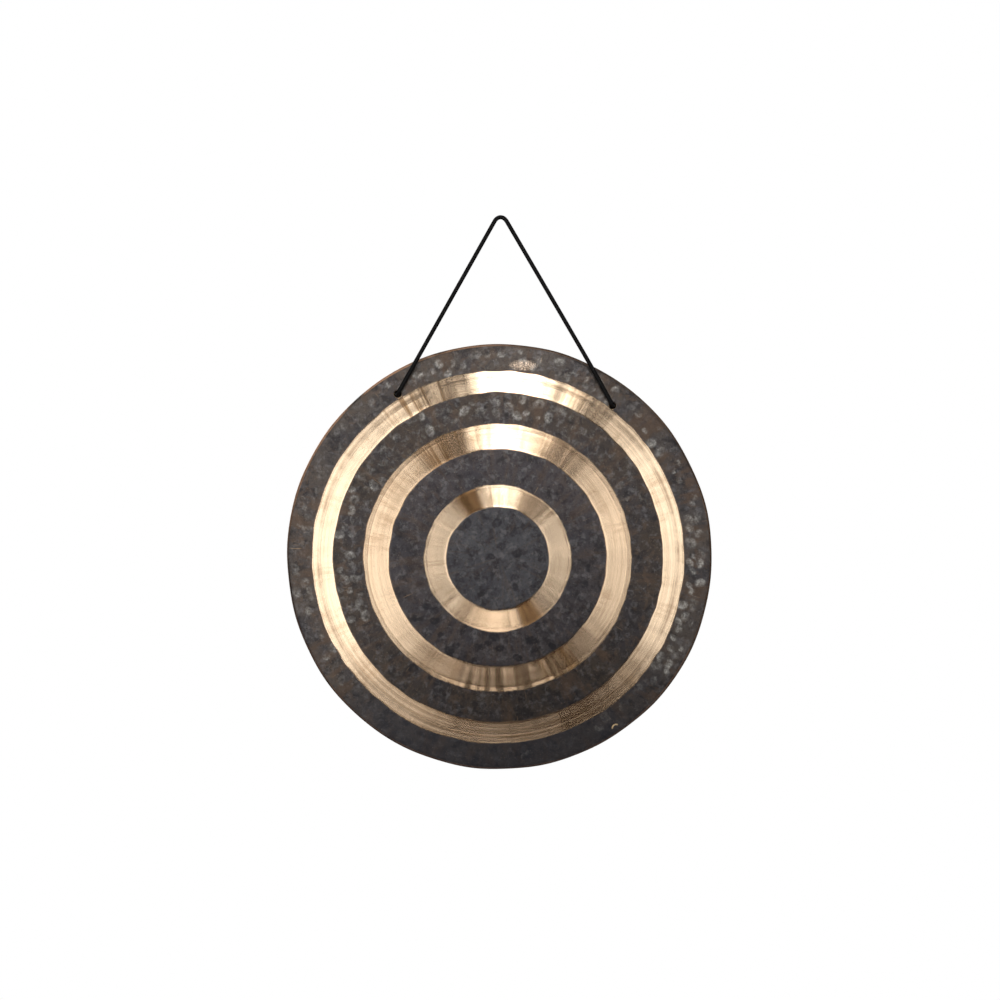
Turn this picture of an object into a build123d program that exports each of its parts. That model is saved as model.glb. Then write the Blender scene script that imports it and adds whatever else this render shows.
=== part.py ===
"""A tam tam gong: one hammered bronze plate that hangs by a braided cord from a single hook.

Row frame: +Z is up, the gong faces -Y, and the origin is where the cord bears on the hook.
The plate is a shallow dome with its edge turned back into a short rim. Three concentric bands
are scraped bright in its face. The cord goes from a stopper knot behind the plate, through a
drilled hole, up over the hook, and down through the second hole to the other knot. It is cut
into lengths where it bends as the gong moves: at the hook and at the two holes.
"""

import math
import os

from build123d import *

# The plate, in millimetres.
DISC_RADIUS = 250.0
SHEET = 2.0  # thickness of the bronze
DOME_RISE = 20.6  # how far the middle stands in front of the edge; hangs the plate upright
RIM_DEPTH = 16.0  # how far the rim reaches behind the edge of the dome
BEND_RADIUS = 5.0  # outside radius of the bend into the rim
BANDS = ((59.5, 86.0), (126.5, 157.0), (192.5, 218.5))  # inner and outer radius of each band
BAND_DEPTH = 0.35
BAND_INNER_WALL = 0.8  # width of the step down into a band
BAND_OUTER_WALL = 4.0  # width of the slope back up to the hammered skin
HOLE_RADIUS = 4.0
HANG_DROP = 395.0  # from the hook down to the plate's centre

# The cord. Its route runs from knot to knot, through the hanging holes and over the hook.
CORD_DIAMETER = 5.0
HOOK_DIAMETER = 9.8
CORD_ROUTE = (
    (-119.6, 6.8, -204.5),  # against the left knot
    (-119.6, 0.0, -204.5),  # out of the left hole
    (-4.1, 0.0, 2.5),  # over the hook
    (4.7, 0.0, 2.5),
    (105.2, 0.0, -168.1),  # turned a little where it crosses the plate's edge
    (132.3, 0.0, -217.3),  # into the right hole
    (132.3, 6.4, -217.3),  # against the right knot
)
HOLES = {"left": CORD_ROUTE[1], "right": CORD_ROUTE[-2]}
KNOTS = {"left": CORD_ROUTE[0], "right": CORD_ROUTE[-1]}
OUTWARDS = {"left": -1.0, "right": 1.0}  # the sign of X on each side
HOLE_CORNER = CORD_DIAMETER  # radius of the centreline where the cord turns into a hole
LEG_CLEARANCE = 0.5  # between the cord and the face, beside the hole nearer to the middle

# Where the cord is cut.
NECK_PLANE = -6.0  # height of the cut below the hook
SWING_CUT = 20.0  # radius of the cut round the hook's bearing line
NOD_CUT = 8.0  # radius of the cut round the line through the holes

# The stopper knots, each with its short free end.
KNOT_RADIUS = 7.5
KNOT_LENGTH = 12.0
KNOT_ROUNDING = 3.0
TAIL_RUN = 22.0
TAIL_DROP = 40.0  # degrees that a free end points below the horizontal

CORD_RADIUS = CORD_DIAMETER / 2
SPHERE_RADIUS = (DISC_RADIUS**2 + DOME_RISE**2) / (2 * DOME_RISE)
FAR = 400.0  # larger than any distance that a cutting tool has to reach


def dome(radius, inset=0.0):
    """Depth behind the middle of the face, at that radius, of a surface inset from the face."""
    return SPHERE_RADIUS - math.sqrt((SPHERE_RADIUS - inset) ** 2 - radius**2)


NEARER_HOLE = min(math.hypot(x, z + HANG_DROP) for x, _, z in HOLES.values())
PLATE_FRONT = CORD_RADIUS + LEG_CLEARANCE - dome(NEARER_HOLE)  # row Y of the face's middle
PLATE_BACK = PLATE_FRONT + dome(DISC_RADIUS) + RIM_DEPTH


def dome_arc(start, end, inset=0.0):
    """An arc of the dome's section between two radii."""
    middle = (start + end) / 2
    return ThreePointArc(*((r, dome(r, inset)) for r in (start, middle, end)))


def bend_arc(inset):
    """The section of the bend from the dome to the rim's wall."""
    centre_r = DISC_RADIUS - BEND_RADIUS
    centre_y = dome(centre_r, BEND_RADIUS)
    radius = BEND_RADIUS - inset
    first = math.atan2(centre_y - SPHERE_RADIUS, centre_r)
    return ThreePointArc(
        *(
            (centre_r + radius * math.cos(a), centre_y + radius * math.sin(a))
            for a in (first, first / 2, 0.0)
        )
    )


def face_section():
    """The front of the section, from the middle out to the bend, with the scraped bands."""
    edges = []
    reached = 0.0
    for inner, outer in BANDS:
        floor_start = inner + BAND_INNER_WALL
        floor_end = outer - BAND_OUTER_WALL
        edges.append(dome_arc(reached, inner))
        edges.append(Line((inner, dome(inner)), (floor_start, dome(floor_start, BAND_DEPTH))))
        edges.append(dome_arc(floor_start, floor_end, BAND_DEPTH))
        edges.append(Line((floor_end, dome(floor_end, BAND_DEPTH)), (outer, dome(outer))))
        reached = outer
    bend = bend_arc(0.0)
    edges.append(dome_arc(reached, (bend @ 0).X))
    edges.append(bend)
    return edges


def gong_plate():
    """The bronze plate with its rim, bands and hanging holes."""
    rim_end = dome(DISC_RADIUS) + RIM_DEPTH
    inner_bend = bend_arc(SHEET)
    section = face_section()
    section.append(Line(section[-1] @ 1, (DISC_RADIUS, rim_end)))
    section.append(Line((DISC_RADIUS, rim_end), (DISC_RADIUS - SHEET, rim_end)))
    section.append(Line((DISC_RADIUS - SHEET, rim_end), inner_bend @ 1))
    section.append(inner_bend)
    section.append(dome_arc((inner_bend @ 0).X, 0.0, SHEET))
    section.append(Line((0.0, SHEET), (0.0, 0.0)))
    plate = revolve(make_face(section), axis=Axis.Y)
    plate = Pos(0, PLATE_FRONT, -HANG_DROP) * plate
    for hole in HOLES.values():
        plate = plate - Pos(*hole) * Rot(X=90) * Cylinder(HOLE_RADIUS, FAR)
    return plate


def cord_radii():
    """The radius of the cord's arc at each inner point of its route."""
    at_hook = HOOK_DIAMETER / 2 + CORD_RADIUS
    before, crossing, after = (Vector(*point) for point in CORD_ROUTE[3:6])
    turn = math.radians((crossing - before).get_angle(after - crossing))
    at_crossing = 0.45 * (after - crossing).length / math.tan(turn / 2)
    return [HOLE_CORNER, at_hook, at_hook, at_crossing, HOLE_CORNER]


def whole_cord():
    """The cord's tube between the knots, in one piece."""
    path = FilletPolyline(*CORD_ROUTE, radius=cord_radii())
    tube = sweep(Plane(path @ 0, z_dir=path % 0) * Circle(CORD_RADIUS), path=path)
    expected = math.pi * CORD_RADIUS**2 * path.length
    print("cord radii", [round(radius, 1) for radius in cord_radii()])
    print("cord length", round(path.length, 1), "volume share", round(tube.volume / expected, 4))
    return tube


def round_the_hook():
    """Everything within the swing cut of the hook's bearing line."""
    return Rot(Y=90) * Cylinder(SWING_CUT, FAR)


def round_the_holes():
    """Everything that nods with the plate: round the line through the holes, and behind it."""
    left, right = (Vector(*HOLES[side]) for side in ("left", "right"))
    hinge = Plane(origin=(left + right) / 2, x_dir=(0, 1, 0), z_dir=right - left)
    behind = Pos(CORD_RADIUS + LEG_CLEARANCE + FAR / 2, 0, 0) * Box(FAR, 4 * NOD_CUT, 2 * FAR)
    return hinge * (Cylinder(NOD_CUT, 2 * FAR) + behind)


def on_side(shape, side):
    """The part of a shape that is left or right of the hook."""
    return shape & (Pos(OUTWARDS[side] * FAR / 2, 0, 0) * Box(FAR, FAR, 3 * FAR))


def cord_parts():
    """The cord's lengths between its cuts, by node name."""
    cord = whole_cord()
    above = Pos(0, 0, NECK_PLANE + FAR / 2) * Box(FAR, FAR, FAR)
    below = cord - above
    legs = below - round_the_hook()
    parts = {"cord_bight": cord & above}
    for side in HOLES:
        parts[f"cord_neck_{side}"] = on_side(below & round_the_hook(), side)
        parts[f"cord_leg_{side}"] = on_side(legs - round_the_holes(), side)
        parts[f"cord_end_{side}"] = on_side(legs & round_the_holes(), side)
    return parts


def knot(side):
    """A stopper knot pulled against the back of the plate, with its free end."""
    middle = Vector(*KNOTS[side]) + Vector(0, KNOT_LENGTH / 2, 0)
    barrel = Rot(X=90) * Cylinder(KNOT_RADIUS, KNOT_LENGTH)
    barrel = fillet(barrel.edges().filter_by(GeomType.CIRCLE), KNOT_ROUNDING)
    drop = math.radians(TAIL_DROP)
    direction = Vector(OUTWARDS[side] * math.cos(drop), 0, -math.sin(drop))
    tail = Cylinder(CORD_RADIUS, TAIL_RUN, align=(Align.CENTER, Align.CENTER, Align.MIN))
    tail = fillet(tail.edges().sort_by(Axis.Z)[-1], CORD_RADIUS / 3)
    return Pos(*middle) * barrel + Plane(origin=middle, z_dir=direction) * tail


def main():
    os.makedirs("parts", exist_ok=True)
    parts = {"gong_plate": gong_plate(), **cord_parts()}
    for side in HOLES:
        parts[f"knot_{side}"] = knot(side)
    for name, shape in parts.items():
        export_step(shape, f"parts/{name}.step")
    centre = parts["gong_plate"].center(CenterOf.MASS)
    print("plate's centre of mass", [round(value, 2) for value in centre])
    print("plate from", round(PLATE_FRONT, 3), "to", round(PLATE_BACK, 3))


main()
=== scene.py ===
import math

import bpy
import numpy as np
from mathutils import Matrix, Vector


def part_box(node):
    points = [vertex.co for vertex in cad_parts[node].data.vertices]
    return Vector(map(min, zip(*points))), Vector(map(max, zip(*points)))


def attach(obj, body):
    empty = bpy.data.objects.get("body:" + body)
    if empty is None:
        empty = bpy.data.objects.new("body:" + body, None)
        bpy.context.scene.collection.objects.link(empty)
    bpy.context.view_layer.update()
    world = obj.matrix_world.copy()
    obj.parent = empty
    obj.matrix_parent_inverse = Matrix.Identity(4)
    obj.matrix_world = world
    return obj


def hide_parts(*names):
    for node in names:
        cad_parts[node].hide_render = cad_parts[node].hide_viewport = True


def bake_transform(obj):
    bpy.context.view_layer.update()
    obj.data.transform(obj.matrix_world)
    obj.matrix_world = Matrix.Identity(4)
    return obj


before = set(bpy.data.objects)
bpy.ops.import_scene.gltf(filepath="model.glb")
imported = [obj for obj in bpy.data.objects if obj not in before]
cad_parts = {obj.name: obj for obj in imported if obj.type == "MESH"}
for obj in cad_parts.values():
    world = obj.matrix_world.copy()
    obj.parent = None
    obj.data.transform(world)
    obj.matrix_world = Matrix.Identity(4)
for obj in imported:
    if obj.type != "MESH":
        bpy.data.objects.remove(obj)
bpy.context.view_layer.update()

MM = 0.001
TURN = 2 * math.pi

# What the frame says of the plate's size and place.
plate_low, plate_high = (np.array(corner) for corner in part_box("gong_plate"))
DISC_RADIUS = (plate_high[0] - plate_low[0]) / 2
CENTRE_Z = (plate_high[2] + plate_low[2]) / 2
FRONT_Y, BACK_Y = plate_low[1], plate_high[1]

# The cord's route, as in part.py, in metres.
CORD_DIAMETER = 5.0 * MM
CORD_ROUTE = (
    (-0.1196, 0.0068, -0.2045),
    (-0.1196, 0.0000, -0.2045),
    (-0.0041, 0.0000, 0.0025),
    (0.0047, 0.0000, 0.0025),
    (0.1052, 0.0000, -0.1681),
    (0.1323, 0.0000, -0.2173),
    (0.1323, 0.0064, -0.2173),
)
HOLES = {"left": CORD_ROUTE[1], "right": CORD_ROUTE[-2]}
KNOTS = {"left": CORD_ROUTE[0], "right": CORD_ROUTE[-1]}
OUTWARDS = {"left": -1.0, "right": 1.0}


# ------------------------------------------------------------------ camera

CAMERA_DISTANCE = 2.5
FRAME_WIDTH = 1.170  # of the picture, in the plane of the cord
CAMERA_ROLL = 0.19  # degrees
CAMERA_X, CAMERA_Z = 0.0007, -0.3283


def make_camera():
    """The camera, square on to the gong's face and a little way off."""
    data = bpy.data.cameras.new("camera")
    data.sensor_width = 36.0
    data.lens = data.sensor_width * CAMERA_DISTANCE / FRAME_WIDTH
    camera = bpy.data.objects.new("camera", data)
    camera.location = (CAMERA_X, -CAMERA_DISTANCE, CAMERA_Z)
    camera.rotation_euler = (math.radians(90), math.radians(-CAMERA_ROLL), 0)
    bpy.context.scene.collection.objects.link(camera)
    bpy.context.scene.camera = camera


make_camera()


# ------------------------------------------------------------------ helpers

def smoothstep(value, low, high):
    """A smooth ramp from 0 at the low end to 1 at the high end."""
    t = np.clip((value - low) / (high - low), 0, 1)
    return t * t * (3 - 2 * t)


def make_object(name, vertices, faces, materials, slots=None, smooth=True):
    """A mesh object in the scene, with a material index for each face."""
    mesh = bpy.data.meshes.new(name)
    mesh.from_pydata([tuple(v) for v in vertices], [], [tuple(f) for f in faces])
    for material in materials:
        mesh.materials.append(material)
    if slots is not None:
        mesh.polygons.foreach_set("material_index", np.asarray(slots, dtype=np.int32))
    mesh.polygons.foreach_set("use_smooth", np.full(len(mesh.polygons), smooth))
    mesh.update()
    obj = bpy.data.objects.new(name, mesh)
    bpy.context.scene.collection.objects.link(obj)
    return obj


def store(mesh, name, values):
    """Keeps a number for each vertex, for a material to read."""
    attribute = mesh.attributes.new(name, "FLOAT", "POINT")
    attribute.data.foreach_set("value", np.asarray(values, dtype=np.float32))


class Graph:
    """A short way to build a material's nodes."""

    def __init__(self, name):
        self.material = bpy.data.materials.new(name)
        self.material.use_nodes = True
        self.tree = self.material.node_tree
        self.tree.nodes.clear()

    def node(self, kind, inputs=None, **settings):
        """A node with these settings. Its inputs are values or other nodes' outputs."""
        made = self.tree.nodes.new(kind)
        for key, value in settings.items():
            setattr(made, key, value)
        for key, value in (inputs or {}).items():
            self.put(made.inputs[key], value)
        return made

    def put(self, socket, value):
        if isinstance(value, bpy.types.NodeSocket):
            self.tree.links.new(value, socket)
        else:
            socket.default_value = value

    def math(self, operation, a, b=0.0, c=0.0):
        return self.node("ShaderNodeMath", {0: a, 1: b, 2: c}, operation=operation).outputs[0]

    def vector(self, operation, a, b=(0, 0, 0)):
        made = self.node("ShaderNodeVectorMath", {0: a, 1: b}, operation=operation)
        return made.outputs["Value" if operation in ("LENGTH", "DOT_PRODUCT") else "Vector"]

    def noise(self, vector, scale, detail=3.0, roughness=0.5, distortion=0.0):
        made = self.node(
            "ShaderNodeTexNoise",
            {"Vector": vector, "Scale": scale, "Detail": detail, "Roughness": roughness,
             "Distortion": distortion},
        )
        return made.outputs[0]

    def step(self, value, low, high, to_low=0.0, to_high=1.0):
        """A smooth ramp of a value from one range to another."""
        made = self.node(
            "ShaderNodeMapRange",
            {"Value": value, "From Min": low, "From Max": high, "To Min": to_low,
             "To Max": to_high},
            interpolation_type="SMOOTHSTEP",
        )
        return made.outputs[0]

    def mix(self, factor, a, b):
        """The first colour, with that share of the second."""
        made = self.node("ShaderNodeMix", data_type="RGBA")
        self.put(made.inputs["Factor"], factor)
        self.put(made.inputs["A"], a)
        self.put(made.inputs["B"], b)
        return next(socket for socket in made.outputs if socket.type == "RGBA")

    def attribute(self, name):
        """A number that store() kept for each vertex."""
        return self.node("ShaderNodeAttribute", attribute_name=name).outputs["Fac"]

    def bump(self, height, distance, strength):
        inputs = {"Height": height, "Distance": distance, "Strength": strength}
        return self.node("ShaderNodeBump", inputs).outputs[0]

    def finish(self, **inputs):
        """Ends the graph in one Principled BSDF."""
        shader = self.node("ShaderNodeBsdfPrincipled", inputs)
        output = self.node("ShaderNodeOutputMaterial")
        self.tree.links.new(shader.outputs[0], output.inputs[0])
        return self.material


def rgb(red, green, blue):
    """A linear colour from the usual 0 to 255 numbers."""
    def linear(value):
        value = value / 255
        return value / 12.92 if value <= 0.04045 else ((value + 0.055) / 1.055) ** 2.4
    return (linear(red), linear(green), linear(blue), 1.0)


# ------------------------------------------------------------------ the gong's shape

DOME_RISE = 20.6 * MM
BEND_RADIUS = 5.0 * MM
SHEET = 2.0 * MM
SPHERE_RADIUS = (DISC_RADIUS**2 + DOME_RISE**2) / (2 * DOME_RISE)

# Each scraped band: its two edges, how far its middle is off the plate's (right, up), the lines
# that the scraper dug, and its section as (distance from the inner edge, depth under the
# hammered skin), all in millimetres.
BANDS = (
    {
        "edges": (59.5, 86.0),
        "off": (-1.8, -1.2),
        "grooves": (22.8,),
        "section": ((0.5, 0.2), (1.0, 0.3), (4, 0.31), (7, 0.31), (10, 0.3), (13, 0.3), (16, 0.3),
                    (19, 0.3), (22.2, 0.3), (22.8, 0.31), (23.3, 0.27), (25, 0.12)),
    },
    {
        "edges": (126.5, 157.0),
        "off": (-2.0, -0.8),
        "grooves": (9.0, 24.9),
        "section": ((0.5, 0.25), (1.1, 0.36), (4, 0.35), (7, 0.34), (10, 0.34), (13, 0.34),
                    (16, 0.34), (19, 0.34), (22, 0.34), (24.3, 0.33), (24.9, 0.37), (25.5, 0.32),
                    (28, 0.16), (29.6, 0.05)),
    },
    {
        "edges": (192.5, 218.5),
        "off": (-1.4, -0.2),
        "grooves": (15.2, 18.5, 23.9),
        "section": ((0.5, 0.2), (1.0, 0.3), (4, 0.31), (7, 0.32), (10, 0.33), (12.5, 0.34),
                    (14.6, 0.34), (15.2, 0.38), (15.8, 0.32), (18.5, 0.24), (21.2, 0.17),
                    (23.4, 0.12), (23.9, 0.14), (24.4, 0.1)),
    },
)

rng = np.random.default_rng(7)


def harmonics(counts, size, fade=1.0):
    """A wavy function round the plate: a sum of cosines with seeded phases."""
    counts = np.array(counts, dtype=float)
    sizes = size * rng.uniform(0.4, 1.0, len(counts)) / (counts / counts[0]) ** fade
    phases = rng.uniform(0, TURN, len(counts))

    def wave(theta):
        return np.cos(np.outer(theta, counts) + phases) @ sizes

    return wave


outline_wave = harmonics(range(2, 22), 0.35 * MM, 0.6)
edge_waves = [harmonics(range(4, most), 0.2 * MM, 0.5) for most in (20, 28, 36, 44, 52, 60)]
RAGGED_REACH = 3.0 * MM  # a band's rings are true circles beyond this far from its edges


def band_radius(band, distance, theta):
    """The radius at angles clockwise from the top, that far out from a band's inner edge."""
    right, up = (value * MM for value in BANDS[band]["off"])
    inner, outer = (edge * MM for edge in BANDS[band]["edges"])
    waves = [edge_waves[2 * band + side](theta) for side in (0, 1)]
    near_inner = 1 - smoothstep(distance, 0, RAGGED_REACH)
    near_outer = smoothstep(distance, outer - inner - RAGGED_REACH, outer - inner)
    ragged = waves[0] * near_inner + waves[1] * near_outer
    return inner + distance + right * np.sin(theta) + up * np.cos(theta) + ragged


def edge_radius(band, side, theta):
    """The radius of a band's inner (0) or outer (1) edge at angles clockwise from the top."""
    inner, outer = BANDS[band]["edges"]
    return band_radius(band, side * (outer - inner) * MM, theta)


# Hammer marks: where they crowd, as (from, to) clock angles in degrees, the span of radius in
# millimetres, how many, and how light the bare marks are. Dark marks are negative.
MARK_FIELDS = (
    ((325, 385), (222, 241), 26, 0.75),
    ((25, 80), (222, 241), 22, 0.7),
    ((78, 125), (221, 239), 40, 1.0),
    ((125, 175), (222, 240), 10, 0.4),
    ((225, 255), (222, 236), 10, 0.5),
    ((255, 325), (222, 243), 26, 0.45),
    ((330, 385), (162, 189), 24, 0.7),
    ((25, 70), (160, 189), 22, 0.35),
    ((245, 300), (168, 190), 30, 0.6),
    ((300, 330), (160, 190), 14, 0.4),
    ((80, 240), (160, 190), 40, -0.7),
    ((90, 250), (90, 124), 34, -1.0),
    ((250, 450), (90, 124), 26, -0.6),
    ((0, 360), (8, 56), 26, -0.8),
    ((0, 360), (8, 245), 330, 0.0),
)


def hammer_marks():
    """Every mark's centre, radius, depth and tone. Marks of one field hardly overlap."""
    rows = []
    for (start, end), (low, high), count, tone in MARK_FIELDS:
        field = []
        for _ in range(count):
            size = rng.uniform(3.4, 7.4) * MM
            depth = rng.uniform(0.06, 0.16) * MM * (1.6 if tone > 0 else 1.0)
            strength = tone * rng.uniform(0.35, 1.0)
            for _ in range(8):
                theta = math.radians(rng.uniform(start, end))
                radius = math.sqrt(rng.uniform(low**2, high**2)) * MM
                x, z = radius * math.sin(theta), radius * math.cos(theta)
                apart = [math.hypot(x - row[0], z - row[1]) / (size + row[2]) for row in field]
                if min(apart, default=1.0) > 0.85:
                    field.append((x, z, size, depth, strength, rng.uniform(0, TURN)))
                    break
        rows += field
    return np.array(rows)


def swell_waves():
    """Waves round the plate that hammering leaves: how many, how high, and how they shift."""
    rows = []
    for count in (*range(3, 30), *range(30, 100, 3)):
        slope = 0.0026 / max(1, count / 50) ** 1.5
        size = slope * 180 * MM / count * rng.uniform(0.5, 1.2)
        rows.append((count, size, rng.uniform(0, TURN), rng.uniform(-55, 55)))
    return rows


WAVES = swell_waves()


# How much wavier the plate is at the bottom of its middle band, over what angle each way, and
# the radii where that grows and where it fades.
LOW_WAVINESS = 2.2
LOW_ANGLE = 0.55
LOW_GROWS, LOW_FADES = (0.105, 0.128), (0.158, 0.185)


def swells(theta, radius):
    """How far the hammered plate lies behind a true dome. It is wavier further out."""
    total = np.zeros_like(theta)
    for count, size, phase, drift in WAVES:
        total += size * np.cos(count * theta + phase + drift * radius)
    low = np.exp(-(((theta - math.pi) / LOW_ANGLE) ** 2))
    middle = smoothstep(radius, *LOW_GROWS) * (1 - smoothstep(radius, *LOW_FADES))
    return total * (radius / 0.2) ** 1.6 * (1 + LOW_WAVINESS * low * middle)


def dome(radius, inset=0.0):
    """Depth behind the middle of the face, at that radius, of a surface inset from the face."""
    return SPHERE_RADIUS - np.sqrt((SPHERE_RADIUS - inset) ** 2 - radius**2)


FLAT_RADIUS, FLAT_END = 0.10, 0.195  # the middle is flatter than a sphere, and steeper outside
FLAT_DEPTH = 1.4 * MM


def face_depth(radius):
    """The visible face behind its middle: the dome, with the middle hammered flatter."""
    flat = smoothstep(radius, 0.0, FLAT_RADIUS) * (1 - smoothstep(radius, FLAT_RADIUS, FLAT_END))
    return dome(radius) - FLAT_DEPTH * flat


def mark_fields(x, z, marks):
    """The depth of the dents, and the light and dark tone of the marks, at every point."""
    depth, light, dark = np.zeros_like(x), np.zeros_like(x), np.zeros_like(x)
    for centre_x, centre_z, size, dent, tone, turn in marks:
        near = np.abs(x - centre_x) + np.abs(z - centre_z) < 2.2 * size
        angle = np.arctan2(x[near] - centre_x, z[near] - centre_z) - turn
        distance = np.hypot(x[near] - centre_x, z[near] - centre_z) / size
        distance = distance * (1 + 0.16 * np.cos(2 * angle))
        depth[near] = np.maximum(depth[near], dent * np.exp(-1.6 * distance**2))
        disc = 1 - smoothstep(distance, 0.5, 1.2)
        ring = 0.65 + 0.35 * np.exp(-((distance - 0.75) / 0.3) ** 2)
        lopsided = 0.72 + 0.28 * np.cos(angle)
        if tone > 0:
            light[near] = np.maximum(light[near], tone * disc * ring * lopsided)
        elif tone < 0:
            dark[near] = np.maximum(dark[near], -tone * disc * ring)
    return depth, light, dark


FINE_COUNT = 768  # vertices round the plate, outside RING_STEPS
RING_STEPS = ((14 * MM, 96), (34 * MM, 192), (104 * MM, 384))
FACE_SPACING = 2.4 * MM
BACK_SPACING = 4.5 * MM
OXIDE, SCRAPED, BARE = 0, 1, 2  # the plate's material slots
BEHIND = -99.0  # what "edge" holds on the rim's wall and behind the plate


def ring_angles(radius, finest=FINE_COUNT):
    """The angles of a ring's vertices: fewer near the middle."""
    count = min(next((n for limit, n in RING_STEPS if radius < limit), FINE_COUNT), finest)
    return np.arange(count) * TURN / count


def shares(start, end, spacing):
    """Even steps from one radius towards another, without its two ends."""
    steps = max(2, round((end - start) / spacing))
    return [step / steps for step in range(1, steps)]


def dark_ring_start(number, theta):
    """The radius where a dark ring starts: the middle for ring 0, or the band inside the ring."""
    return edge_radius(number - 1, 1, theta) if number else np.zeros_like(theta)


def face_rings():
    """Rings over the front: (angles, radii, recess, material), out to where the rim bends."""
    rings = []
    bend_start = DISC_RADIUS - BEND_RADIUS - 0.8 * MM
    reached = 0.0
    for number, band in enumerate(BANDS):
        low, high = (edge * MM for edge in band["edges"])
        for share in shares(reached, low, FACE_SPACING):
            theta = ring_angles(reached + share * (low - reached))
            start, end = dark_ring_start(number, theta), edge_radius(number, 0, theta)
            rings.append((theta, start + share * (end - start), 0.0, OXIDE))
        theta = ring_angles(low)
        rings.append((theta, edge_radius(number, 0, theta), 0.0, OXIDE))
        width = band["edges"][1] - band["edges"][0]
        for distance, depth in (*band["section"], (width, 0.0)):
            radius = band_radius(number, distance * MM, theta)
            rings.append((theta, radius, depth * MM, SCRAPED))
        reached = high
    for share in (*shares(reached, bend_start, FACE_SPACING), 1.0):
        theta = ring_angles(reached)
        start = dark_ring_start(len(BANDS), theta)
        rings.append((theta, start + share * (bend_start - start), 0.0, OXIDE))
    return rings


def build_surface(marks):
    """The whole plate as rings of points, each with its material, from the middle of the face
    round the rim to the middle of the back, and the numbers that its materials read: how far a
    point is inside a band's edge in millimetres, how near a dug line, and its marks' tones."""
    points, slots, edge, groove, light, dark = [], [], [], [], [], []

    def add(theta, radius, y, slot, rough=1.0, tone=1.0):
        x, z = radius * np.sin(theta), radius * np.cos(theta)
        dent, pale, deep = mark_fields(x, z, marks)
        y = y + rough * dent + swells(theta, radius)
        grown = 1 + outline_wave(theta) / DISC_RADIUS * smoothstep(radius, 0.19, 0.25)
        points.append(np.column_stack((x * grown, y, z * grown)))
        slots.append(slot)
        light.append(pale * tone)
        dark.append(deep * tone)
        nearest, dug = np.full_like(theta, 1.0), np.zeros_like(theta)
        for number, band in enumerate(BANDS):
            inner, outer = (edge_radius(number, side, theta) for side in (0, 1))
            inside = np.minimum(radius - inner, outer - radius)
            nearest = np.where(np.abs(inside) < np.abs(nearest), inside, nearest)
            for distance in band["grooves"]:
                away = (radius - band_radius(number, distance * MM, theta)) / MM
                dug = np.maximum(dug, np.exp(-(away / 0.4) ** 2))
        edge.append(nearest / MM if tone else np.full_like(theta, BEHIND))
        groove.append(dug * tone)

    for theta, radius, recess, slot in face_rings():
        add(theta, radius, face_depth(radius) + recess, slot, rough=1.0 if slot == OXIDE else 0.0)
    centre_r = DISC_RADIUS - BEND_RADIUS
    centre_y = dome(centre_r, BEND_RADIUS)
    first = math.atan2(centre_y - SPHERE_RADIUS, centre_r)
    round_rim = ring_angles(DISC_RADIUS)
    for share in (0.15, 0.35, 0.55, 0.75, 1.0):
        angle = first * (1 - share)
        radius = centre_r + BEND_RADIUS * math.cos(angle)
        y = centre_y + BEND_RADIUS * math.sin(angle)
        add(round_rim, np.full_like(round_rim, radius), y, OXIDE, rough=0.5)
    depth = BACK_Y - FRONT_Y
    edge_break = 0.35 * MM  # the rim's two back edges are filed off
    for radius, y in (
        (DISC_RADIUS, centre_y + 0.5 * (depth - centre_y)),
        (DISC_RADIUS, depth - edge_break),
        (DISC_RADIUS - edge_break, depth),
        (DISC_RADIUS - SHEET + edge_break, depth),
        (DISC_RADIUS - SHEET, depth - edge_break),
        (DISC_RADIUS - SHEET, centre_y + 0.5 * (depth - centre_y)),
    ):
        add(round_rim, np.full_like(round_rim, radius), y, OXIDE, rough=0.0, tone=0.0)
    for share in (0.0, 0.5, 0.9):
        angle = first * share
        radius = centre_r + (BEND_RADIUS - SHEET) * math.cos(angle)
        y = centre_y + (BEND_RADIUS - SHEET) * math.sin(angle)
        add(round_rim, np.full_like(round_rim, radius), y, OXIDE, rough=0.0, tone=0.0)
    back_start = centre_r + (BEND_RADIUS - SHEET) * math.cos(first)
    for share in (0.0, *shares(0.0, back_start, BACK_SPACING)):
        reached = (1 - share) * back_start
        theta = ring_angles(reached, FINE_COUNT // 2)
        radius = np.full_like(theta, reached)
        y = face_depth(radius) + dome(radius, SHEET) - dome(radius)
        add(theta, radius, y, OXIDE, rough=0.8, tone=0.0)
    values = {"edge": edge, "groove": groove, "light_marks": light, "dark_marks": dark}
    return points, slots, values


def stitch(first, second):
    """Faces between two rings of vertex numbers, one of which may have twice as many."""
    n, m = len(first), len(second)
    faces = []
    for i in range(min(n, m)):
        j = (i + 1) % min(n, m)
        if n == m:
            faces.append((first[i], first[j], second[j], second[i]))
        elif m == 2 * n:
            a, b, c = second[2 * i], second[2 * i + 1], second[(2 * i + 2) % m]
            faces += [(first[i], b, a), (first[i], first[j], b), (first[j], c, b)]
        else:
            a, b, c = first[2 * i], first[2 * i + 1], first[(2 * i + 2) % n]
            faces += [(second[i], a, b), (second[i], b, second[j]), (second[j], b, c)]
    return faces


def fan(centre, ring, outward):
    """Triangles from one vertex to a ring."""
    pairs = zip(ring, np.roll(ring, -1))
    return [(centre, a, b) if outward else (centre, b, a) for a, b in pairs]


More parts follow.
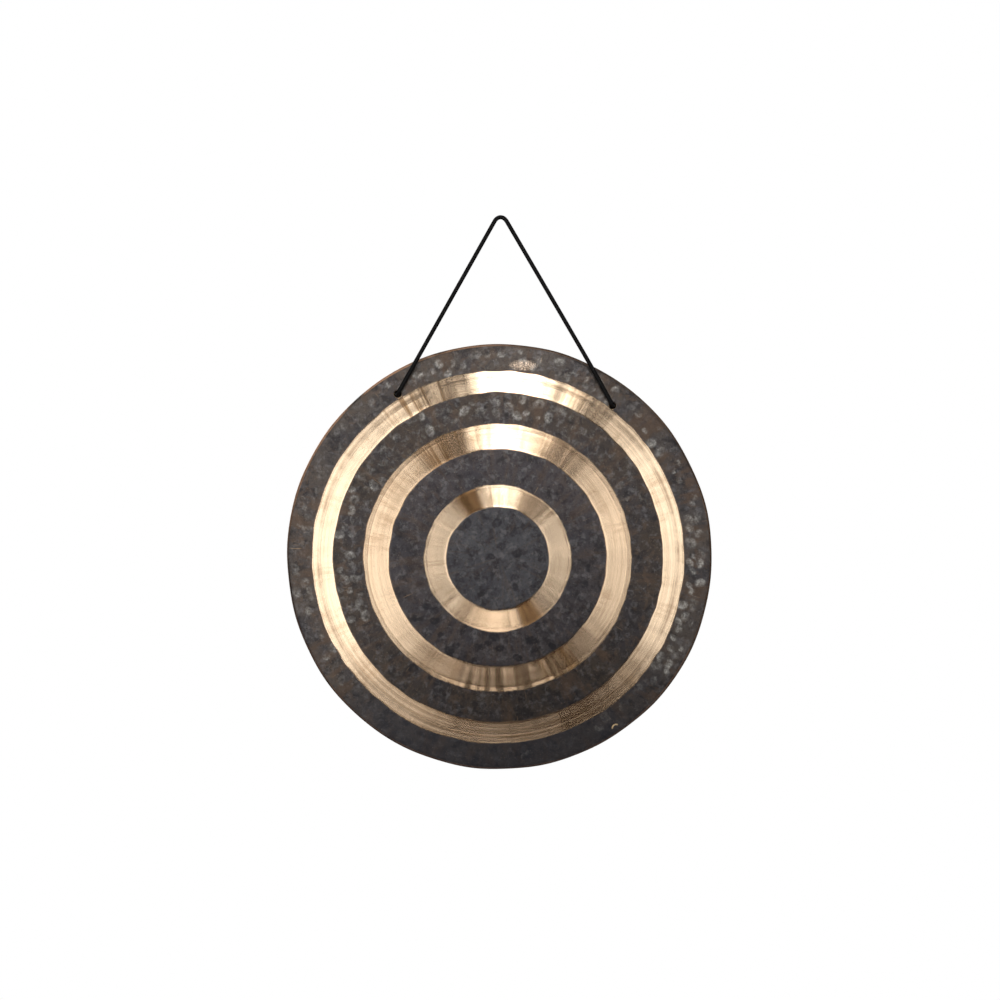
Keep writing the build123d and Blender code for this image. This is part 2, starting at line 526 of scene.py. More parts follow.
def gong_plate(materials):
    """The plate as one closed mesh, drilled for the cord."""
    rings, slots, values = build_surface(hammer_marks())
    vertices = np.vstack([*rings, [[0, 0, 0]], [[0, SHEET, 0]]])
    middle, back_middle = len(vertices) - 2, len(vertices) - 1
    numbers, start = [], 0
    for ring in rings:
        numbers.append(np.arange(start, start + len(ring)))
        start += len(ring)
    faces = fan(middle, numbers[0], False)
    face_slots = [OXIDE] * len(faces)
    for first, second, slot in zip(numbers, numbers[1:], slots[1:]):
        made = stitch(first, second)
        faces += made
        face_slots += [slot] * len(made)
    made = fan(back_middle, numbers[-1], True)
    faces += made
    face_slots += [OXIDE] * len(made)
    plate = make_object("gong", vertices, faces, materials, face_slots)
    for name, rows in values.items():
        store(plate.data, name, np.concatenate([*rows, [0.0, 0.0]]))
    plate.location = (0, FRONT_Y, CENTRE_Z)
    for side, hole in HOLES.items():
        drill(plate, hole, materials[BARE])
    return plate


HOLE_RADIUS = 4.0 * MM
HOLE_CHAMFER = 0.5 * MM


def drill(plate, hole, bare):
    """Cuts one hanging hole, with both its edges broken, square through the sheet's slope."""
    count = 48
    theta = np.arange(count) * TURN / count
    offset = np.array((hole[0], hole[2] - CENTRE_Z))
    reach = np.hypot(*offset)
    face_y = FRONT_Y + dome(reach)
    slope = math.tan(math.asin(reach / SPHERE_RADIUS))
    rings, margin = [], 3 * MM
    for depth, grown in (
        (-margin, HOLE_CHAMFER + margin), (HOLE_CHAMFER, 0.0), (SHEET - HOLE_CHAMFER, 0.0),
        (SHEET + margin, HOLE_CHAMFER + margin),
    ):
        radius = HOLE_RADIUS + grown
        local = radius * np.column_stack((np.sin(theta), np.cos(theta)))
        y = face_y + depth + slope * local @ offset / reach
        rings.append(np.column_stack((hole[0] + local[:, 0], y, hole[2] + local[:, 1])))
    vertices = np.vstack(rings)
    numbers = np.arange(len(vertices)).reshape(len(rings), count)
    faces = [tuple(numbers[0][::-1]), tuple(numbers[-1])]
    for first, second in zip(numbers, numbers[1:]):
        faces += stitch(first, second)
    cutter = make_object("drill", vertices, faces, [bare])
    cut = plate.modifiers.new("hole", "BOOLEAN")
    cut.operation = "DIFFERENCE"
    cut.solver = "EXACT"
    cut.material_mode = "TRANSFER"
    cut.object = cutter
    bpy.context.view_layer.update()
    evaluated = plate.evaluated_get(bpy.context.evaluated_depsgraph_get())
    mesh = bpy.data.meshes.new_from_object(evaluated)
    plate.modifiers.clear()
    plate.data = mesh
    bpy.data.objects.remove(cutter)


# ------------------------------------------------------------------ the gong's materials

def disc_position(graph):
    """A point's place on the plate: as it is, its distance from the middle, and the way out."""
    place = graph.node("ShaderNodeTexCoord").outputs["Object"]
    flat = graph.vector("MULTIPLY", place, (1, 0, 1))
    return place, graph.vector("LENGTH", flat), graph.vector("NORMALIZE", flat)


def polar(graph, radius, outward, around, across):
    """Coordinates that stretch a texture along or across the circles of the plate."""
    parts = graph.node("ShaderNodeSeparateXYZ", {0: outward})
    made = graph.node(
        "ShaderNodeCombineXYZ",
        {0: graph.math("MULTIPLY", parts.outputs[0], around),
         1: graph.math("MULTIPLY", radius, across),
         2: graph.math("MULTIPLY", parts.outputs[2], around)},
    )
    return made.outputs[0]


BRONZE = (0.84, 0.665, 0.48, 1.0)
STAIN_AND_SHADE = (0.30, 0.175, 0.085, 1.0)  # bronze brown: real stains and scraped lines, and the bands' painted shade
DUG = (0.20, 0.125, 0.07, 1.0)  # dirt in a dug line
CHIPPED = (0.20, 0.12, 0.07, 1.0)  # dirt in a small nick
SEAM = (0.07, 0.05, 0.04, 1.0)  # burnt dirt where a band meets the skin
WORN_EDGE = (0.40, 0.27, 0.16, 1.0)  # skin worn thin beside a band
# Worn copper of the rim, also its painted highlight at the upper left.
RIM_WEAR_AND_HIGHLIGHT = (0.50, 0.29, 0.18, 1.0)
# Bright specks on the worn patch: painted glints.
PAINTED_GLINT = (0.95, 0.74, 0.56, 1.0)
# Bare bronze on a nick's lit edge: painted highlight.
NICK_HIGHLIGHT = (0.60, 0.45, 0.26, 1.0)


# Where the bands differ, as spans of radius that a step runs over.
PAST_INNER_BAND = (0.09, 0.12)
PAST_MIDDLE_BAND = (0.17, 0.18)


def painted_shade_places(graph, radius, parts, streak, fine_streak):
    """Where the bands are painted brown as shade, where they mirror the dim room between the lamps: at
    four places round the plate, most of all at the top left and the bottom right, and at the bottom:
    solidly on the inner band, and more in radial streaks further out."""
    across = graph.math("ABSOLUTE", parts.outputs[0])
    # Painted shade: brown on the diagonals, where the bands mirror the dark gaps between the lamps.
    painted_shade_mask = graph.math(
        "MULTIPLY", graph.step(across, 0.22, 0.38), graph.step(across, 0.52, 0.74, 1.0, 0.0)
    )
    quarter = graph.math("MULTIPLY", parts.outputs[0], parts.outputs[2])
    painted_shade_mask = graph.math("MULTIPLY", painted_shade_mask, graph.step(quarter, -0.4, 0.2, 1.0, 0.45))
    # Painted shade at the bottom as well.
    bottom = graph.step(parts.outputs[2], -0.95, -0.75, 0.5, 0.0)
    painted_shade_mask = graph.math("MAXIMUM", painted_shade_mask, bottom)
    streaked = graph.math("MULTIPLY_ADD", fine_streak, 0.5, graph.math("MULTIPLY", streak, 0.5))
    solid = graph.step(radius, *PAST_INNER_BAND, 1.0, 0.5)
    solid = graph.math("MULTIPLY", solid, graph.step(radius, *PAST_MIDDLE_BAND, 1.0, 0.0))
    streaked = graph.math("MAXIMUM", graph.step(streaked, 0.42, 0.58, 0.1, 1.0), solid)
    return graph.math("MULTIPLY", painted_shade_mask, streaked)


def scraped_bronze():
    """Bright bronze, scraped round and round: streaks of light spread along the radius."""
    graph = Graph("scraped bronze")
    place, radius, outward = disc_position(graph)
    turned = graph.node(
        "ShaderNodeVectorTransform", {0: outward},
        vector_type="VECTOR", convert_from="OBJECT", convert_to="WORLD",
    ).outputs[0]
    fine = graph.noise(polar(graph, radius, outward, 2.2, 1500), 1.0, 2, 0.6)
    coarse = graph.noise(polar(graph, radius, outward, 1.4, 330), 1.0, 3, 0.6)
    stain = graph.noise(polar(graph, radius, outward, 5, 24), 1.0, 4, 0.6)
    streak = graph.noise(polar(graph, radius, outward, 17, 10), 1.0, 4, 0.6)
    fine_streak = graph.noise(polar(graph, radius, outward, 55, 7), 1.0, 3, 0.6, 0.3)
    parts = graph.node("ShaderNodeSeparateXYZ", {0: outward})
    stain_and_shade = graph.math("MULTIPLY", graph.step(stain, 0.45, 0.7), graph.step(streak, 0.4, 0.65))
    painted_shade_brown = painted_shade_places(graph, radius, parts, streak, fine_streak)
    # The bottom of the outer band, painted darker there as shade, and browned less.
    low = graph.step(parts.outputs[2], -0.7, -0.4, 1.0, 0.0)
    shaded_low_outer = graph.math("MULTIPLY", graph.step(radius, *PAST_MIDDLE_BAND), low)
    painted_shade_brown = graph.math("MULTIPLY", painted_shade_brown, graph.math("MULTIPLY_ADD", shaded_low_outer, -0.6, 1.0))
    # Real stains, and the bands' painted shade, both mixed in the same brown.
    stain_and_shade = graph.math("MAXIMUM", graph.math("MULTIPLY", stain_and_shade, 0.45), painted_shade_brown)
    colour = graph.mix(stain_and_shade, BRONZE, STAIN_AND_SHADE)
    # Scraped lines are fainter on the inner band, and painted deep at the bottom of the outer one, as
    # painted shade.
    lined = graph.step(radius, 0.09, 0.10, 0.5, 1.0)
    lined = graph.math("MULTIPLY_ADD", shaded_low_outer, 1.3, lined)
    for line, start, end, depth in ((coarse, 0.42, 0.66, 0.2), (fine, 0.45, 0.7, 0.18)):
        share = graph.math("MULTIPLY", graph.step(line, start, end, 0.0, depth), lined)
        colour = graph.mix(share, colour, STAIN_AND_SHADE)
    # The colour is darkened most on the middle band and a little on the inner one; on the outer band
    # only at its bottom, as painted shade.
    darkened_and_shaded = graph.step(radius, *PAST_INNER_BAND, 0.12, 0.3)
    darkened_and_shaded = graph.math("MULTIPLY", darkened_and_shaded, graph.step(radius, *PAST_MIDDLE_BAND, 1.0, 0.0))
    darkened_and_shaded = graph.math("MAXIMUM", darkened_and_shaded, graph.math("MULTIPLY", shaded_low_outer, 0.25))
    colour = graph.mix(darkened_and_shaded, colour, STAIN_AND_SHADE)
    dug = graph.math("MULTIPLY", graph.attribute("groove"), graph.step(stain, 0.4, 0.6, 0.1, 0.6))
    colour = graph.mix(dug, colour, DUG)
    nick = graph.noise(graph.vector("MULTIPLY", place, (500, 1, 190)), 1.0, 3, 0.6, 0.6)
    colour = graph.mix(graph.step(nick, 0.68, 0.76, 0.0, 0.5), colour, CHIPPED)
    scuff = graph.noise(graph.vector("MULTIPLY", place, (170, 1, 420)), 1.0, 3, 0.6, 0.8)
    colour = graph.mix(graph.step(scuff, 0.62, 0.72, 0.0, 0.35), colour, STAIN_AND_SHADE)
    edge = graph.attribute("edge")
    ragged = graph.noise(place, 900, 2)
    seam = graph.math("ADD", edge, graph.math("MULTIPLY", ragged, -0.9))
    colour = graph.mix(graph.step(seam, -0.2, 0.6, 1.0, 0.0), colour, SEAM)
    normal = graph.bump(coarse, 0.012 * MM, 0.8)
    roughness = graph.step(streak, 0.3, 0.7, 0.20, 0.22)
    return graph.finish(**{
        "Base Color": colour, "Metallic": 1.0, "Roughness": roughness, "Anisotropic": 0.93,
        "Tangent": turned, "Normal": normal,
    })


BRIGHT_PATCH = (0.0275, 0.0, 0.2245)  # a small worn place near the top, speckled with painted glints
BRIGHT_PATCH_SCALE = (52, 0, 135)  # one over its half width and half height
HOOKED_NICK = (0.1378, 0.0, -0.2005)  # the middle of a curved nick, low on the right
HOOKED_NICK_RADIUS = 4.5 * MM


def oxide_skin():
    """The dark fired skin, with hammer marks, rust and worn places; painted shade at its bottom, and
    painted highlights on the rim, on a nick and in a worn patch.
    """
    graph = Graph("fired oxide skin")
    place, radius, outward = disc_position(graph)
    colour = graph.mix(graph.step(radius, 0.05, 0.10), rgb(67, 67, 71), rgb(62, 58, 60))
    colour = graph.mix(graph.step(radius, 0.12, 0.17), colour, rgb(59, 52, 47))
    colour = graph.mix(graph.step(radius, 0.19, 0.22), colour, rgb(70, 64, 60))
    cloud = graph.noise(place, 22, 5, 0.6)
    colour = graph.mix(graph.step(cloud, 0.4, 0.7, 0.0, 0.7), colour, rgb(46, 46, 52))
    blotch = graph.noise(place, 75, 5, 0.6, 0.3)
    colour = graph.mix(graph.step(blotch, 0.48, 0.66, 0.0, 0.75), colour, rgb(33, 31, 33))
    pale = graph.noise(graph.vector("ADD", place, (3, 1, 2)), 120, 5, 0.65, 0.3)
    colour = graph.mix(graph.step(pale, 0.48, 0.70, 0.0, 0.55), colour, rgb(98, 96, 98))
    sooty = graph.noise(graph.vector("ADD", place, (2, 8, 5)), 260, 4, 0.7, 0.4)
    colour = graph.mix(graph.step(sooty, 0.50, 0.68, 0.0, 0.45), colour, rgb(30, 28, 30))
    smear = graph.noise(polar(graph, radius, outward, 10, 16), 1.0, 5, 0.65)
    outer_share = graph.step(radius, 0.08, 0.18, 0.3, 0.75)
    down = graph.node("ShaderNodeSeparateXYZ", {0: outward}).outputs[2]
    # Painted shade: the outer ring is darker and bluer at its bottom, and less rusty there.
    low = graph.math("MULTIPLY", graph.step(down, -0.9, -0.6, 1.0, 0.0), graph.step(radius, 0.19, 0.21))
    outer_share = graph.math("MULTIPLY", outer_share, graph.math("MULTIPLY_ADD", low, -0.7, 1.0))
    colour = graph.mix(graph.math("MULTIPLY", low, 0.55), colour, rgb(44, 46, 54))
    rusty = graph.math("MULTIPLY", graph.step(smear, 0.5, 0.66), outer_share)
    colour = graph.mix(rusty, colour, rgb(74, 60, 50))
    russet = graph.noise(graph.vector("ADD", place, (1, 5, 4)), 75, 4, 0.6, 0.8)
    russet = graph.math("MULTIPLY", graph.step(russet, 0.54, 0.66), outer_share)
    colour = graph.mix(graph.math("MULTIPLY", russet, 0.45), colour, rgb(86, 70, 58))
    dark = graph.attribute("dark_marks")
    spot_edge = graph.noise(graph.vector("ADD", place, (7, 2, 1)), 190, 4, 0.65)
    dark = graph.math("ADD", dark, graph.math("MULTIPLY_ADD", spot_edge, -1.3, 0.5))
    colour = graph.mix(graph.step(dark, 0.0, 0.6, 0.0, 0.75), colour, rgb(28, 28, 33))
    mottle = graph.noise(place, 480, 4, 0.75, 0.3)
    ragged_mark = graph.noise(place, 210, 3, 0.6)
    light = graph.math("MULTIPLY_ADD", ragged_mark, -0.55, graph.attribute("light_marks"))
    mottled = graph.step(mottle, 0.32, 0.68, 0.15, 0.95)
    light = graph.math("MULTIPLY", graph.step(light, -0.25, 0.5), mottled)
    colour = graph.mix(light, colour, rgb(170, 169, 165))
    speck = graph.noise(place, 1000, 2, 0.5)
    colour = graph.mix(graph.step(speck, 0.68, 0.75, 0.0, 0.5), colour, rgb(150, 134, 116))
    scratch = graph.noise(polar(graph, radius, outward, 150, 40), 1.0, 2, 0.5)
    colour = graph.mix(graph.step(scratch, 0.73, 0.79, 0.0, 0.4), colour, rgb(170, 140, 105))
    edge = graph.attribute("edge")
    ragged = graph.noise(place, 650, 3, 0.6)
    worn = graph.math("ADD", edge, graph.math("MULTIPLY", ragged, 1.1))
    colour = graph.mix(graph.step(worn, 0.3, 0.7), colour, WORN_EDGE)
    # A worn patch near the top, with painted glints in it.
    patch = graph.vector("SUBTRACT", place, BRIGHT_PATCH)
    patch = graph.vector("LENGTH", graph.vector("MULTIPLY", patch, BRIGHT_PATCH_SCALE))
    painted_glints = graph.noise(place, 1500, 2, 0.6)
    front = graph.step(edge, BEHIND + 9, BEHIND + 19)
    patch = graph.math("MULTIPLY", graph.step(patch, 0.5, 1.0, 1.0, 0.0), front)
    painted_highlight = graph.math("MULTIPLY", patch, graph.step(painted_glints, 0.5, 0.62))
    colour = graph.mix(painted_highlight, colour, PAINTED_GLINT)
    # A curved nick, bright only on its upper-left side: painted highlight.
    nick = graph.vector("MULTIPLY", graph.vector("SUBTRACT", place, HOOKED_NICK), (1, 0, 1))
    away = graph.math("SUBTRACT", graph.vector("LENGTH", nick), HOOKED_NICK_RADIUS)
    line = graph.step(graph.math("ABSOLUTE", away), 0.5 * MM, 1.1 * MM, 1.0, 0.0)
    upper = graph.vector("DOT_PRODUCT", graph.vector("NORMALIZE", nick), (-0.6, 0.0, 0.8))
    painted_highlight = graph.math("MULTIPLY", graph.math("MULTIPLY", line, front), graph.step(upper, 0.3, 0.7))
    colour = graph.mix(painted_highlight, colour, NICK_HIGHLIGHT)
    # The rim's very edge is worn copper in patches all round, and much more at the upper left, where
    # that is a painted highlight.
    lit_facing = graph.vector("DOT_PRODUCT", outward, (-0.6, 0.0, 0.8))
    rim_wear_and_highlight = graph.math("MULTIPLY_ADD", graph.step(lit_facing, 0.6, 0.95), 0.6, 0.25)
    at_rim = graph.step(radius, 0.2468, 0.2486)
    worn_rim = graph.math("MULTIPLY", at_rim, graph.step(cloud, 0.3, 0.5))
    colour = graph.mix(graph.math("MULTIPLY", worn_rim, rim_wear_and_highlight), colour, RIM_WEAR_AND_HIGHLIGHT)
    grain = graph.noise(place, 420, 4, 0.65)
    roughness = graph.step(grain, 0.3, 0.7, 0.36, 0.52)
    normal = graph.bump(grain, 0.25 * MM, 0.5)
    return graph.finish(**{
        "Base Color": colour, "Metallic": 0.75, "Roughness": roughness, "Normal": normal,
    })


def bare_bronze():
    """Cut metal inside the drilled holes."""
    graph = Graph("drilled bronze")
    place = graph.node("ShaderNodeTexCoord").outputs["Object"]
    lines = graph.noise(graph.vector("MULTIPLY", place, (300, 5000, 300)), 1.0, 2)
    colour = graph.mix(lines, BRONZE, STAIN_AND_SHADE)
    return graph.finish(**{
        "Base Color": colour, "Metallic": 1.0, "Roughness": graph.step(lines, 0.3, 0.7, 0.22, 0.4),
        "Normal": graph.bump(lines, 0.02 * MM, 0.6),
    })


# ------------------------------------------------------------------ the cord

STRANDS = 8  # strands of the braid that run each way
LAY_LENGTH = 15 * MM  # of one strand's turn round the cord
STRAND_RISE = 0.13 * MM
TUBE_SIDES = 40
TUBE_STEP = 0.55 * MM


def along(start, end, distance):
    """A point that far from one point of the route towards another."""
    start, end = np.array(start), np.array(end)
    return start + (end - start) * distance / np.linalg.norm(end - start)


def route_line():
    """The cord's centreline, read from a spline. Its control points are the route's, with more
    beside the hook and the holes, which keep the legs straight."""
    knot, hole, hook = CORD_ROUTE[:3]
    hook_right, crossing, hole_right, knot_right = CORD_ROUTE[3:]
    beside_hook, beside_hole = 12 * MM, 9 * MM
    points = (
        knot,
        hole,
        along(hole, hook, beside_hole),
        along(hook, hole, beside_hook),
        hook,
        hook_right,
        along(hook_right, crossing, beside_hook),
        crossing,
        along(hole_right, crossing, beside_hole),
        hole_right,
        knot_right,
    )
    return spline_line(points)


def spline_line(points):
    """Points read from a smooth spline with these control points, evenly spaced."""
    curve = bpy.data.curves.new("line", "CURVE")
    curve.dimensions = "3D"
    spline = curve.splines.new("NURBS")
    spline.points.add(len(points) - 1)
    for place, point in zip(spline.points, points):
        place.co = (*point, 1.0)
    spline.order_u = 3
    spline.use_endpoint_u = True
    spline.resolution_u = 48
    holder = bpy.data.objects.new("line", curve)
    mesh = bpy.data.meshes.new_from_object(holder)
    line = np.array([vertex.co for vertex in mesh.vertices])
    bpy.data.objects.remove(holder)
    bpy.data.meshes.remove(mesh)
    return evenly(line, TUBE_STEP)


def evenly(line, step):
    """The same line with points one step apart."""
    gaps = np.linalg.norm(np.diff(line, axis=0), axis=1)
    line = line[np.concatenate(([True], gaps > 1e-9))]
    reached = np.concatenate(([0.0], np.cumsum(np.linalg.norm(np.diff(line, axis=0), axis=1))))
    count = max(2, round(reached[-1] / step) + 1)
    wanted = np.linspace(0, reached[-1], count)
    return np.column_stack([np.interp(wanted, reached, line[:, axis]) for axis in range(3)])


def braid_height(around, distance):
    """How far the braid's strands stand out at an angle round the cord and a distance along it."""
    turn = TURN * distance / LAY_LENGTH
    right = STRANDS * (around + turn) / 2
    left = STRANDS * (around - turn) / 2
    crown_right, crown_left = np.abs(np.cos(right)), np.abs(np.cos(left))
    on_top = 0.5 + 0.5 * np.sin(right + left) * np.sin(right - left)
    rise = np.maximum(crown_right * (0.55 + 0.45 * on_top), crown_left * (1.0 - 0.45 * on_top))
    return STRAND_RISE * (rise - 0.8)


def directions(line):
    """The way along a line at each of its points, and two directions square to it that don't
    twist from point to point."""
    tangents = np.gradient(line, axis=0)
    tangents /= np.linalg.norm(tangents, axis=1)[:, None]
    side = np.eye(3)[np.argmin(np.abs(tangents[0]))]
    sides = []
    for tangent in tangents:
        side = side - tangent * (side @ tangent)
        side = side / np.linalg.norm(side)
        sides.append(side)
    return tangents, np.array(sides), np.cross(tangents, sides)


def braided(name, line, material, first=0, last=None):
    """A braided cord along part of a line, as a closed mesh, in step with its neighbours."""
    last = len(line) - 1 if last is None else last
    around = np.arange(TUBE_SIDES) * TURN / TUBE_SIDES
    _, sides, others = directions(line)
    step = np.linalg.norm(line[1] - line[0])
    rows, heights = [], []
    for number in range(first, last + 1):
        height = braid_height(around, number * step)
        radius = (CORD_DIAMETER / 2 + height)[:, None]
        out = np.outer(np.cos(around), sides[number]) + np.outer(np.sin(around), others[number])
        rows.append(line[number] + radius * out)
        heights.append(height)
    vertices = np.vstack([*rows, line[first], line[last]])
    numbers = np.arange(len(rows) * TUBE_SIDES).reshape(len(rows), TUBE_SIDES)
    faces = []
    for lower, upper in zip(numbers, numbers[1:]):
        faces += stitch(lower, upper)
    faces += fan(len(vertices) - 2, numbers[0], False)
    faces += fan(len(vertices) - 1, numbers[-1], True)
    cord = make_object(name, vertices, faces, [material])
    values = np.concatenate([*heights, [-STRAND_RISE, -STRAND_RISE]])
    store(cord.data, "braid", values / STRAND_RISE)
    return cord


def black_cord():
    """Braided black polyester: almost matt, with painted shade between its strands, and a little dusty.
    """
    graph = Graph("black braided cord")
    place = graph.node("ShaderNodeTexCoord").outputs["Object"]
    fibre = graph.noise(place, 2600, 3, 0.6)
    braid = graph.attribute("braid")
    # Painted shade: darker where the braid dips between its strands.
    colour = graph.mix(graph.step(braid, -0.5, 0.2), rgb(1, 1, 2), rgb(7, 6, 7))
    dusty = graph.noise(place, 380, 2, 0.5)
    colour = graph.mix(graph.step(dusty, 0.62, 0.75, 0.0, 0.6), colour, rgb(60, 56, 56))
    roughness = graph.step(fibre, 0.3, 0.7, 0.48, 0.7)
    return graph.finish(**{
        "Base Color": colour, "Roughness": roughness, "Normal": graph.bump(fibre, 0.06 * MM, 0.6),
        "Specular IOR Level": 0.12,
    })


# ------------------------------------------------------------------ the stopper knots

KNOT_BEAD = 1.19 * MM
KNOT_BEADS = 96
KNOT_PULLS = 1400
KNOT_PULL = 0.03 * MM  # how far each end moves in one pull
KNOT_STIFFNESS = 0.06  # how far a bead moves towards the middle of its neighbours
BEADS_APART = 6  # beads nearer than this along the cord don't push each other
BEADS_OVER_HOLE = 6  # beads over which a knot moves across, to be centred on its hole
KNOT_SMOOTHINGS = 6
KNOT_SPIN = {"left": 35, "right": 160}  # degrees that each knot is turned about its cord
TAIL_LENGTH = 24 * MM
TAIL_DROP = 40  # degrees that a free end points below the horizontal


def tight_knot():
    """The centreline of an overhand knot, tied loosely along X and then pulled tight."""
    t = np.linspace(-2.15, 2.15, 400)
    loose = np.column_stack((t**3 - 3 * t, 0.09 * (t**5 - 10 * t), t**4 - 4 * t**2))
    loose = np.vstack((loose[0] + (-9, 0, 2), loose, loose[-1] + (9, 0, 2)))
    length = np.linalg.norm(np.diff(loose, axis=0), axis=1).sum()
    beads = evenly(loose * KNOT_BEAD * (KNOT_BEADS - 1) / length, KNOT_BEAD)
    first, second = np.triu_indices(len(beads), BEADS_APART)
    for _ in range(KNOT_PULLS):
        beads[0, 0] -= KNOT_PULL
        beads[-1, 0] += KNOT_PULL
        beads[[0, -1], 1:] *= 0.98
        for _ in range(6):
            for start in (0, 1):
                gap = beads[start + 1::2] - beads[start:-1:2]
                size = np.linalg.norm(gap, axis=1)[:, None]
                shift = gap * 0.5 * (1 - KNOT_BEAD / size)
                beads[start:-1:2] += shift
                beads[start + 1::2] -= shift
            gap = beads[second] - beads[first]
            size = np.linalg.norm(gap, axis=1)
            close = size < CORD_DIAMETER
            push = gap[close] * (0.25 * (CORD_DIAMETER / size[close] - 1))[:, None]
            np.add.at(beads, first[close], -push)
            np.add.at(beads, second[close], push)
            between = 0.5 * (beads[:-2] + beads[2:])
            beads[1:-1] += KNOT_STIFFNESS * (between - beads[1:-1])
    return beads


def knot_line(side, beads):
    """The knot's centreline on one side: in from the hole, round, and out to its short tail."""
    body = np.nonzero(np.hypot(beads[:, 1], beads[:, 2]) > 2 * MM)[0]
    beads = beads[max(body[0] - 3, 0):body[-1] + 3]
    beads = beads - beads[0]
    spin = math.radians(KNOT_SPIN[side])
    turned = np.column_stack((
        beads[:, 1] * math.cos(spin) - beads[:, 2] * math.sin(spin),
        beads[:, 0],
        beads[:, 1] * math.sin(spin) + beads[:, 2] * math.cos(spin),
    ))
    past_hole = smoothstep(np.arange(len(turned)), 0, BEADS_OVER_HOLE)[:, None]
    turned -= past_hole * turned.mean(axis=0) * (1, 0, 1)  # the knot's middle goes on the hole's
    drop = math.radians(TAIL_DROP)
    out = np.array((OUTWARDS[side] * math.cos(drop), 0.0, -math.sin(drop)))
    back = np.array((0.0, 1.0, 0.0))
    end = turned[-1]
    tail = spline_line((end, end + 3.5 * MM * back, end + 5 * MM * back + 5 * MM * out,
                        end + 4.5 * MM * back + TAIL_LENGTH * out))
    line = np.vstack((turned, tail[1:]))
    reach = np.hypot(KNOTS[side][0] + line[:, 0], KNOTS[side][2] - CENTRE_Z + line[:, 2])
    behind = FRONT_Y + SPHERE_RADIUS - np.sqrt((SPHERE_RADIUS - SHEET) ** 2 - reach**2)
    beyond = np.hypot(line[:, 0], line[:, 2]) > 2 * MM
    needed = behind + CORD_DIAMETER / 2 + 0.25 * MM - line[:, 1]
    lift = max(needed[beyond].max() - KNOTS[side][1], 0.2 * MM)
    line = line + np.array(KNOTS[side]) + lift * back
    line = evenly(np.vstack(([KNOTS[side]], line)), TUBE_STEP)
    for _ in range(KNOT_SMOOTHINGS):
        line[1:-1] = 0.25 * line[:-2] + 0.5 * line[1:-1] + 0.25 * line[2:]
    return line


# ------------------------------------------------------------------ assembly

def build_gong():
    """The plate, which stands for its CAD node and moves with the gong."""
    plate = gong_plate([oxide_skin(), scraped_bronze(), bare_bronze()])
    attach(plate, "gong")
    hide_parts("gong_plate")


UPPER_REACH = 20 * MM  # the upper length of cord ends this far from the hook


def build_cord():
    """The cord in three lengths, which bend at the hook and at the holes, and its two knots."""
    material = black_cord()
    line = route_line()
    near_hook = np.nonzero(np.linalg.norm(line, axis=1) < UPPER_REACH)[0]
    first, last = near_hook[0], near_hook[-1]
    beads = tight_knot()
    knots = {}
    for side in HOLES:
        path = knot_line(side, beads)
        knots[side] = braided(f"knot_{side}_tied", path, material)
        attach(knots[side], "gong")
        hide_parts(f"knot_{side}")
    cuts = {
        "cord_down_left": (0, first),
        "cord_over_hook": (first, last),
        "cord_down_right": (last, len(line) - 1),
    }
    made = {name: braided(name, line, material, *cut) for name, cut in cuts.items()}
    over = made["cord_over_hook"]
    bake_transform(over)
    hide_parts("cord_bight", "cord_neck_left", "cord_neck_right")
    for side in HOLES:
        piece = made[f"cord_down_{side}"]
        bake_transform(piece)
        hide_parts(f"cord_leg_{side}", f"cord_end_{side}")
    for name, (start, end) in cuts.items():
        path = line[start:end + 1]
        side = name.rsplit("_", 1)[-1]


build_gong()
build_cord()


# ------------------------------------------------------------------ studio

def softbox(name, across, up, radiance, distance=2.2):
    """A rectangular light, seen from the gong between those angles (in degrees) right of the
    camera's axis and above it."""
    middle = [math.radians(sum(pair) / 2) for pair in (across, up)]
    half = [math.radians(pair[1] - pair[0]) / 2 for pair in (across, up)]
    towards = Vector((
        math.sin(middle[0]) * math.cos(middle[1]),
        -math.cos(middle[0]) * math.cos(middle[1]),
        math.sin(middle[1]),
    ))
    light = bpy.data.lights.new(name, "AREA")
    light.shape = "RECTANGLE"
    light.size, light.size_y = (2 * distance * math.tan(value) for value in half)
    light.energy = radiance * math.pi * light.size * light.size_y
    light.color = (1.0, 0.985, 0.96)
    holder = bpy.data.objects.new(name, light)
    holder.location = Vector((0, FRONT_Y, CENTRE_Z)) + distance * towards
    holder.rotation_euler = (-towards).to_track_quat("-Z", "Y").to_euler()
    holder.visible_camera = False
    bpy.context.scene.collection.objects.link(holder)


ROOM = (0.030, 0.017, 0.010, 1.0)  # the dim warm room beyond the softboxes


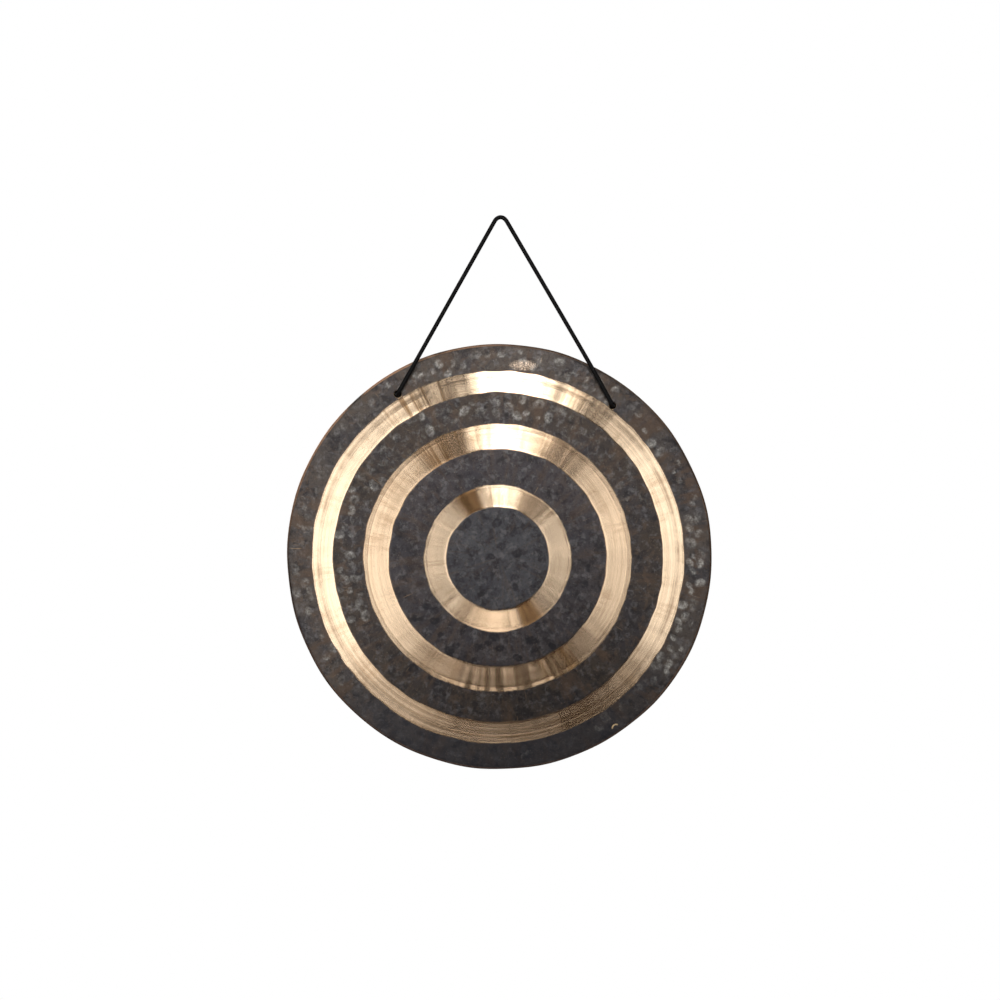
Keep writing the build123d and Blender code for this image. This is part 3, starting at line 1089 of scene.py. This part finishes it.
def make_world():
    """A white sweep behind the gong, in a room that is otherwise dim."""
    world = bpy.data.worlds.new("studio")
    world.use_nodes = True
    tree = world.node_tree
    tree.nodes.clear()
    path = tree.nodes.new("ShaderNodeLightPath")
    colour = tree.nodes.new("ShaderNodeMix")
    background = tree.nodes.new("ShaderNodeBackground")
    output = tree.nodes.new("ShaderNodeOutputWorld")
    colour.data_type = "RGBA"
    colour.inputs["A"].default_value = ROOM
    colour.inputs["B"].default_value = (1, 1, 1, 1)
    tree.links.new(path.outputs["Is Camera Ray"], colour.inputs["Factor"])
    tree.links.new(colour.outputs["Result"], background.inputs["Color"])
    tree.links.new(background.outputs[0], output.inputs[0])
    bpy.context.scene.world = world


FLOOR_Z = -1.5
FLOOR_RADIUS = 1.5


def make_floor():
    """A round pale floor, well below the gong."""
    count = 96
    theta = np.arange(count) * TURN / count
    ring = np.column_stack((np.cos(theta), np.sin(theta), np.zeros(count))) * FLOOR_RADIUS
    graph = Graph("pale floor")
    path = graph.node("ShaderNodeLightPath")
    material = graph.finish(**{
        "Base Color": (0.86, 0.86, 0.85, 1.0), "Roughness": 0.8,
        "Emission Color": (1, 1, 1, 1),
        "Emission Strength": graph.math("MULTIPLY", path.outputs["Is Camera Ray"], 0.9),
    })
    floor = make_object("floor", ring + (0, 0, FLOOR_Z), [range(count)], [material], smooth=False)
    floor.visible_glossy = False


softbox("top_low", across=(-2.3, 4), up=(9, 20), radiance=6.5)
softbox("top_high", across=(-4, 10), up=(20, 50), radiance=4.4)
softbox("top_right", across=(10, 15), up=(22, 45), radiance=3.4)
softbox("right_high", across=(15, 62), up=(0, 22), radiance=1.85)
softbox("right_low", across=(15, 62), up=(-16, 0), radiance=1.5)
softbox("right_floor", across=(15, 50), up=(-24, -16), radiance=0.5)
softbox("right_near", across=(5, 12), up=(-3, 7), radiance=0.6)
softbox("left", across=(-62, -14), up=(-20, 19), radiance=2.05)
softbox("left_floor", across=(-55, -12), up=(-35, -20), radiance=1.1)
softbox("left_high", across=(-45, -17), up=(22, 40), radiance=3.0)
softbox("left_near", across=(-12, -5), up=(-3, 5), radiance=0.7)
softbox("below", across=(-2.4, 1.8), up=(-12, -3), radiance=5.0)
softbox("overhead", across=(-60, 60), up=(52, 82), radiance=1.2)
softbox("underneath", across=(-60, 60), up=(-80, -50), radiance=0.5)
softbox("behind_left", across=(-175, -130), up=(-5, 40), radiance=2.6)
softbox("behind_right", across=(145, 175), up=(-15, 30), radiance=1.6)
make_world()
make_floor()
bpy.context.scene.view_settings.view_transform = "Standard"
